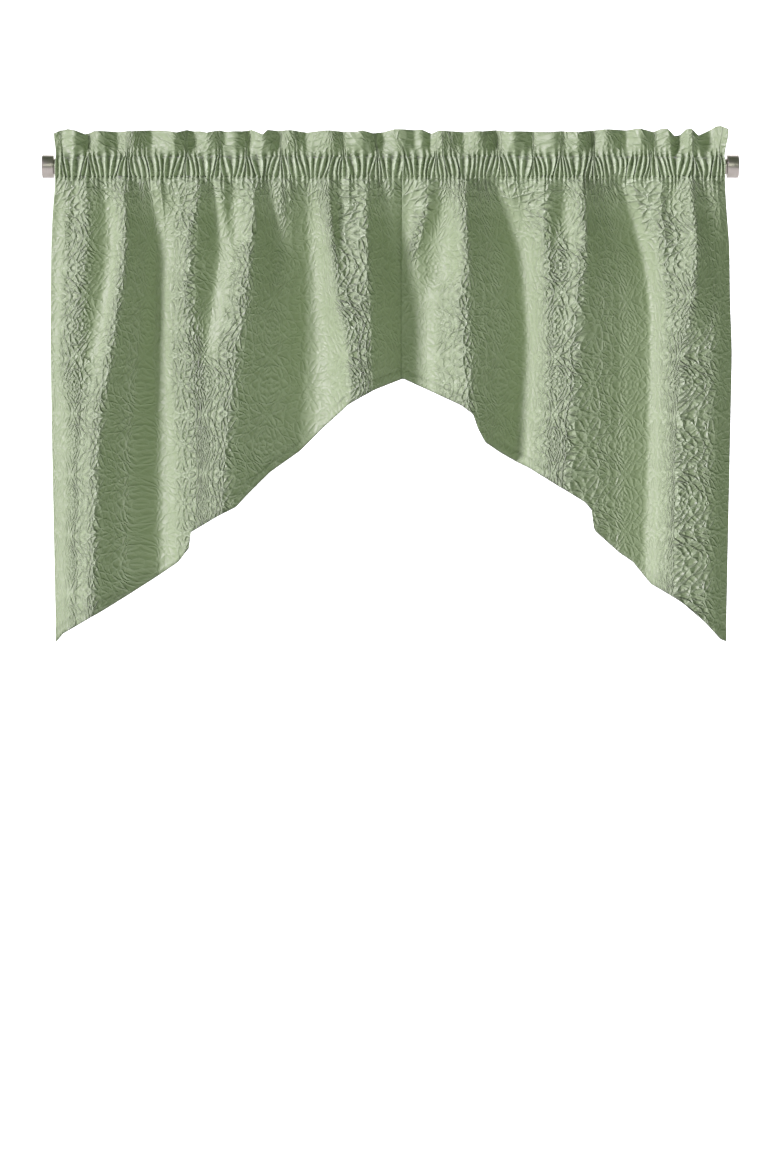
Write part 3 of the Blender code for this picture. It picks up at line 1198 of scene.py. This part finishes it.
        pucker = self.puckers.at(self._flat(phase), SEAM_DOWN - ruffle.pucker_shift - risen)
        out = self.seam_out + gathered + waved
        out += ruffle.pucker * pucker * eased(risen / ruffle.pucker_opening)
        return np.stack([across, out, height], axis=1)

    def dress(self, cloth: bpy.types.Material) -> None:
        """Build both pieces, give them the cloth and hang them on the frame.

        Args:
            cloth: the cloth's material.
        """
        skirt = self.build_skirt()
        heading = self.build_heading()
        for piece in (skirt, heading):
            thicken(piece, self.thickness)
            piece.data.materials.append(cloth)
            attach(piece, BODY)
            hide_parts(self.name)
            LOG.info("%s: %d faces", piece.name, len(piece.data.polygons))
        skirt_area = self._skirt_area()

    def _skirt_area(self) -> float:
        """Work out the flat skirt's area, which its slanting hem makes less than its box."""
        phase = self._phases(1)
        drop = self.stitch_low - self._hem_height(phase) + self.turned_hem.depth
        flat = self._flat(phase)
        area = float(np.sum(np.diff(flat) * 0.5 * (drop[1:] + drop[:-1]))) * MM * MM
        return min(area, self.flat_width * self.flat_drop)


LEFT_FOLDS = (
    Fold((-486, -491, -493, -494, -494, -492, -486), (2, -2, -6, -8, -9, -11, -12)),
    Fold((-466, -468, -476), (6, 5, 1)),
    Fold((-459, -460, -468), (3, 3, 1)),
    Fold((-443, -442, -444, -450, -462, -468, -471), (9, 12, 13, 12, 9, 3, 3)),
    Fold((-417, -413, -411, -421, -439, -450, -453), (1, 0, 0, 2, 7, 10, 10)),
    Fold((-388, -386, -386, -397, -407, -426, -433), (13, 20, 24, 27, 28, 30, 30)),
    Fold((-369, -363, -363, -369, -378, -395, -404), (3, 3, 5, 8, 9, 11, 12)),
    Fold((-359, -353, -349, -355, -363, -376, -384), (4, 1, 0, 3, 5, 4, 4)),
    Fold((-352, -346, -340, -342, -345, -341, -341), (0, -5, -11, -15, -16, -17, -17)),
    Fold((-339, -331, -320), (7, 1, -3)),
    Fold((-330, -323, -312), (4, 1, 0)),
    Fold((-278, -281, -292, -294, -288, -282, -279), (13, 18, 20, 20, 17, 11, 10)),
    Fold((-260, -257, -247, -257, -269, -270, -270), (2, -2, -3, 3, 11, 16, 16)),
    Fold((-247, -244, -239), (11, 9, 3)),
    Fold((-233, -234, -231), (2, 1, 4)),
    Fold((-201, -199, -201, -211, -224, -238, -252), (14, 22, 27, 30, 30, 31, 31)),
    Fold((-178, -175, -167), (4, 0, -5)),
    Fold((-159, -162, -150), (9, 8, -6)),
    Fold((-125, -121, -120, -123, -124, -131, -138), (-1, -9, -17, -20, -22, -23, -23)),
    Fold((-91, -88, -85, -79, -62, -56, -56), (10, 16, 20, 23, 25, 25, 25)),
    Fold((-77, -76, -76, -62, -47, -41, -41), (3, 1, 4, 20, 23, 22, 22)),
    Fold((-62, -60, -56), (9, 8, 10)),
    Fold((-54, -53, -49), (6, 7, 12)),
    Fold((-38, -37, -34, -28, -27, -24, -24), (12, 17, 21, 23, 22, 20, 20)),
    Fold((-15, -9, -4), (0, -7, -14)),
    Fold((-3, 1, 6), (3, -5, -15)),
    Fold((20, 20, 20, 20, 20, 20, 20), (-6, -16, -23, -25, -26, -26, -26)),
)

RIGHT_FOLDS = (
    Fold((16, 16, 16, 16, 16, 16, 16), (-1, -10, -17, -19, -20, -20, -20)),
    Fold((50, 50, 34, 43, 43, 43, 43), (9, 9, -10, -17, -17, -17, -17)),
    Fold((76, 71, 57, 53, 53, 53, 53), (1, -1, -16, -14, -12, -12, -12)),
    Fold((104, 105, 105, 104, 108, 115, 115), (14, 22, 26, 26, 25, 26, 26)),
    Fold((118, 121, 127, 130, 133, 136, 136), (5, 10, 12, 13, 13, 14, 14)),
    Fold((130, 138, 150, 156, 156, 150, 147), (1, 0, 0, 0, 1, 4, 4)),
    Fold((149, 166, 186, 198, 200, 184, 175), (-8, -15, -20, -22, -23, -22, -22)),
    Fold((170, 179, 194), (4, -7, -16)),
    Fold((188, 192, 199), (2, -5, -14)),
    Fold((225, 224, 224, 224, 227, 224, 217), (13, 17, 17, 14, 10, 9, 9)),
    Fold((252, 249, 241, 236, 236, 233, 228), (2, 4, 8, 13, 12, 12, 12)),
    Fold((275, 278, 279, 270, 268, 254, 243), (14, 22, 26, 26, 22, 19, 19)),
    Fold((285, 291, 301, 304, 304, 297, 289), (7, 10, 10, 9, 7, 5, 5)),
    Fold((299, 311, 326, 336, 336, 330, 321), (2, -1, -3, -5, -7, -7, -7)),
    Fold((333, 350, 365, 383, 381, 377, 366), (-8, -18, -22, -21, -20, -20, -20)),
    Fold((350, 360, 373), (4, -3, -12)),
    Fold((368, 372, 379), (2, -2, -7)),
    Fold((391, 391, 390, 393, 395, 394, 386), (9, 9, 8, 3, 1, -4, -4)),
    Fold((405, 403, 404, 406, 403, 400, 393), (3, 4, 5, 8, 5, 3, 3)),
    Fold((434, 439, 443, 438, 420, 412, 408), (14, 21, 26, 24, 14, 15, 15)),
    Fold((449, 455, 462, 466, 455, 452, 449), (3, 1, 0, 4, 7, 7, 7)),
    Fold((463, 471, 478, 479, 475, 472, 468), (7, 3, -1, 0, 2, 1, 1)),
    Fold((485, 489, 493, 494, 497, 494, 488), (-2, -7, -11, -13, -15, -16, -16)),
)

LEFT_HEADER = tuple(
    Wave(*pair)
    for pair in (
        (-489, -2), (-475, -3), (-459, 5), (-438, -3), (-424, 3), (-395, -4), (-379, 2), (-346, -6),
        (-314, 6), (-286, -4), (-264, 5), (-240, -1), (-226, 3), (-204, -4), (-185, 6), (-162, -2),
        (-147, 3), (-123, -3), (-86, 6), (-69, 1), (-42, 5), (-11, -4), (15, 4),
    )
)

RIGHT_HEADER = tuple(
    Wave(*pair)
    for pair in (
        (5, 3), (14, 4), (35, -1), (46, 2), (57, -3), (71, 4), (107, -4), (127, 5), (154, -5),
        (176, 6), (206, -2), (234, 4), (252, 0), (273, 4), (293, -4), (312, 3), (343, -5), (360, 5),
        (384, -1), (405, 4), (415, -4), (433, 6), (463, -3), (488, 6),
    )
)

LEFT_TOP = tuple(
    EdgePoint(*pair)
    for pair in (
        (-488, 48), (-479, 52), (-468, 53), (-456, 50), (-443, 46), (-430, 50), (-375, 50),
        (-349, 53), (-336, 52), (-310, 47), (-295, 52), (-276, 50), (-266, 47), (-247, 51),
        (-236, 49), (-215, 50), (-202, 53), (-185, 44), (-178, 51), (-144, 51), (-121, 49),
        (-95, 50), (-51, 48), (-41, 50), (-25, 47), (1, 52), (17, 52),
    )
)

RIGHT_TOP = tuple(
    EdgePoint(*pair)
    for pair in (
        (5, 52), (46, 52), (60, 47), (69, 50), (104, 50), (133, 49), (153, 53), (173, 48),
        (204, 50), (231, 48), (249, 50), (273, 48), (292, 52), (359, 53), (381, 49), (391, 53),
        (401, 53), (411, 44), (420, 45), (428, 52), (436, 52), (446, 43), (472, 57), (478, 57),
        (488, 52),
    )
)

LEFT_HEM = tuple(
    EdgePoint(*pair)
    for pair in (
        (-486, -689), (-475, -677), (-421, -647), (-382, -622), (-331, -588), (-308, -573),
        (-292, -553), (-289, -530), (-252, -509), (-223, -494), (-207, -476), (-175, -443),
        (-132, -411), (-99, -378), (-61, -346), (-22, -324), (17, -306),
    )
)

RIGHT_HEM = tuple(
    EdgePoint(*pair)
    for pair in (
        (19, -306), (49, -320), (102, -347), (119, -360), (126, -380), (137, -400), (159, -414),
        (199, -435), (240, -462), (282, -487), (292, -499), (295, -527), (332, -559), (353, -573),
        (379, -605), (423, -633), (455, -660), (479, -685), (492, -690),
    )
)


# The rod and its caps.


@dataclass
class CurtainRod:
    """The rod and the two turned caps on its ends."""

    cap_radius: float = 16.5
    inner_face: float = 488.0
    outer_face: float = 504.5
    socket_radius: float = 11.3
    socket_end: float = 500.2
    rim: float = 2.4
    recess: float = 0.5
    sides: int = 96
    worn_edge: float = 0.7
    edge_rings: int = 3
    edge_angle: float = math.radians(40)
    smooth_angle: float = math.radians(35)

    def build_cap(self, side: Side) -> bpy.types.Object:
        """Turn one cap with its blind socket and a shallow face.

        Args:
            side: the end of the rod that it closes.

        Returns:
            The cap.
        """
        depth = self.outer_face - self.inner_face
        middle = 0.5 * (self.outer_face + self.inner_face)
        bpy.ops.object.select_all(action="DESELECT")
        bpy.ops.mesh.primitive_cylinder_add(
            vertices=self.sides,
            radius=self.cap_radius * MM,
            depth=depth * MM,
            end_fill_type="NGON",
            location=(side.value * middle * MM, 0.0, 0.0),
            rotation=(0.0, side.value * math.pi / 2, 0.0),
        )
        cap = bpy.context.active_object
        cap.name = f"cap_{side.name.lower()}_turned"
        bpy.ops.object.transform_apply(location=True, rotation=True, scale=True)
        self._inset_end(cap, -side.value, self.cap_radius - self.socket_radius)
        self._extrude_along(side.value * (self.socket_end - self.inner_face))
        self._inset_end(cap, side.value, self.rim)
        self._extrude_along(-side.value * self.recess)
        bpy.ops.object.mode_set(mode="OBJECT")
        edge = cap.modifiers.new("worn edges", "BEVEL")
        edge.width = self.worn_edge * MM
        edge.segments = self.edge_rings
        edge.limit_method = "ANGLE"
        edge.angle_limit = self.edge_angle
        pick(cap)
        bpy.ops.object.modifier_apply(modifier=edge.name)
        bpy.ops.object.shade_smooth_by_angle(angle=self.smooth_angle)
        return cap

    @staticmethod
    def _inset_end(cap: bpy.types.Object, facing: int, inset: float) -> None:
        """Select the end face that faces a way along the rod, and inset it."""
        least_share = 0.9
        pick(cap)
        bpy.ops.object.mode_set(mode="EDIT")
        bpy.ops.mesh.select_mode(type="FACE")
        bpy.ops.mesh.select_all(action="DESELECT")
        bpy.ops.object.mode_set(mode="OBJECT")
        for polygon in cap.data.polygons:
            polygon.select = polygon.normal.x * facing > least_share
        bpy.ops.object.mode_set(mode="EDIT")
        bpy.ops.mesh.inset(thickness=inset * MM, depth=0.0)

    @staticmethod
    def _extrude_along(distance: float) -> None:
        """Extrude the selected face along the rod."""
        bpy.ops.mesh.extrude_region_move(
            TRANSFORM_OT_translate={"value": (distance * MM, 0.0, 0.0)}
        )

    def dress(self, metal: bpy.types.Material) -> None:
        """Finish the rod and put the turned caps on it.

        Args:
            metal: the metal's material.
        """
        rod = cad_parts["rod"]
        rod.data.materials.clear()
        rod.data.materials.append(metal)
        for side in Side:
            cap = self.build_cap(side)
            cap.data.materials.append(metal)
            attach(cap, BODY)
            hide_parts(f"cap_{side.name.lower()}")
            LOG.info("%s: %d faces", cap.name, len(cap.data.polygons))


# The studio.


@dataclass(frozen=True)
class Lamp:
    """One far, soft light, with its angles in degrees."""

    name: str
    turn: float
    tilt: float
    power: float
    spread: float
    tint: tuple[float, float, float] = (1.0, 1.0, 1.0)

    def hang(self) -> None:
        """Hang the light: turned to the right of the camera, tilted above level, tinted."""
        data = bpy.data.lights.new(self.name, "SUN")
        data.energy = self.power
        data.angle = math.radians(self.spread)
        data.color = self.tint
        light = bpy.data.objects.new(self.name, data)
        turn = math.radians(self.turn)
        tilt = math.radians(self.tilt)
        level = math.cos(tilt)
        towards = Vector((math.sin(turn) * level, -math.cos(turn) * level, math.sin(tilt)))
        light.rotation_euler = towards.to_track_quat("Z", "Y").to_euler()
        bpy.context.scene.collection.objects.link(light)


@dataclass
class Studio:
    """A round white bay, a soft key from the left, weaker lights in front and behind, a camera."""

    eye: tuple[float, float, float] = (-0.0007, -5.0, -0.607)
    lens: float = 106.07
    floor: float = -3.0
    bay_radius: float = 9.0
    bay_sides: int = 96
    paper_height: float = 12.0
    lamps: tuple[Lamp, ...] = (
        Lamp("soft key", -59, 16, 3.62, 12, (1.05, 0.945, 1.21)),
        Lamp("soft front light", 0, 10, 0.26, 14, (0.92, 1.0, 0.86)),
        Lamp("soft back light", 165, 25, 1.6, 70),
    )
    air: Colour = (0.76, 1.0, 0.62, 1.0)
    air_power: float = 0.145
    paper_glow: float = 1.1

    def set_camera(self) -> None:
        """Place the camera level, facing the wall."""
        data = bpy.data.cameras.new("front view")
        data.lens = self.lens
        camera = bpy.data.objects.new("front view", data)
        camera.location = self.eye
        camera.rotation_euler = (math.pi / 2, 0.0, 0.0)
        bpy.context.scene.collection.objects.link(camera)
        bpy.context.scene.camera = camera

    def set_lights(self) -> None:
        """Hang the lights and fill the room with even, faintly tinted light."""
        for lamp in self.lamps:
            lamp.hang()
        world = bpy.data.worlds.new("even room light")
        world.use_nodes = True
        background = world.node_tree.nodes["Background"]
        background.inputs["Color"].default_value = self.air
        background.inputs["Strength"].default_value = self.air_power
        bpy.context.scene.world = world

    def lay_floor(self) -> None:
        """Lay a round floor of matt white paint."""
        bpy.ops.object.select_all(action="DESELECT")
        bpy.ops.mesh.primitive_circle_add(
            vertices=self.bay_sides, radius=self.bay_radius, fill_type="NGON",
            location=(0.0, 0.0, self.floor),
        )
        self.stage("white_floor", StudioPaint())

    def stand_paper(self) -> None:
        """Stand a ring of lit white paper round the floor, which only the camera sees."""
        bpy.ops.object.select_all(action="DESELECT")
        bpy.ops.mesh.primitive_cylinder_add(
            vertices=self.bay_sides, radius=self.bay_radius, depth=self.paper_height,
            end_fill_type="NOTHING", location=(0.0, 0.0, self.floor + self.paper_height / 2.0),
        )
        bpy.ops.object.mode_set(mode="EDIT")
        bpy.ops.mesh.select_all(action="SELECT")
        bpy.ops.mesh.flip_normals()
        bpy.ops.object.mode_set(mode="OBJECT")
        bpy.ops.object.shade_smooth()
        paper = self.stage("white_paper", StudioPaint(name="lit white paper", glow=self.paper_glow))
        paper.visible_diffuse = False
        paper.visible_glossy = False
        paper.visible_transmission = False
        paper.visible_shadow = False

    @staticmethod
    def stage(name: str, paint: StudioPaint) -> bpy.types.Object:
        """Name and paint the piece of the bay that was just made."""
        piece = bpy.context.active_object
        piece.name = name
        bpy.ops.object.transform_apply(location=True, rotation=True, scale=True)
        piece.data.materials.append(paint.material())
        return piece

    def set_up(self) -> None:
        """Build the whole studio."""
        self.set_camera()
        self.set_lights()
        self.lay_floor()
        self.stand_paper()
        bpy.context.scene.view_settings.view_transform = "Standard"


def main() -> None:
    """Build the studio, the rod and both swags, in that order."""
    logging.basicConfig(level=logging.INFO, format="%(name)s: %(message)s")
    Studio().set_up()
    CurtainRod().dress(BrushedNickel().material())
    cloth = SageCloth().material()
    left = SwagPanel(
        name="swag_left", folds=LEFT_FOLDS, header=LEFT_HEADER,
        top_edge=LEFT_TOP, hem=LEFT_HEM, pocket_from=-485.0, pocket_to=18.6,
        header_from=-489.0, header_to=8.0, seed=11,
    )
    right = SwagPanel(
        name="swag_right", folds=RIGHT_FOLDS, header=RIGHT_HEADER,
        top_edge=RIGHT_TOP, hem=RIGHT_HEM, pocket_from=18.2, pocket_to=484.0,
        header_from=4.5, header_to=489.0, seed=23, flat_width=0.69,
    )
    for panel in (left, right):
        panel.dress(cloth)


if __name__ == "__main__":
    main()
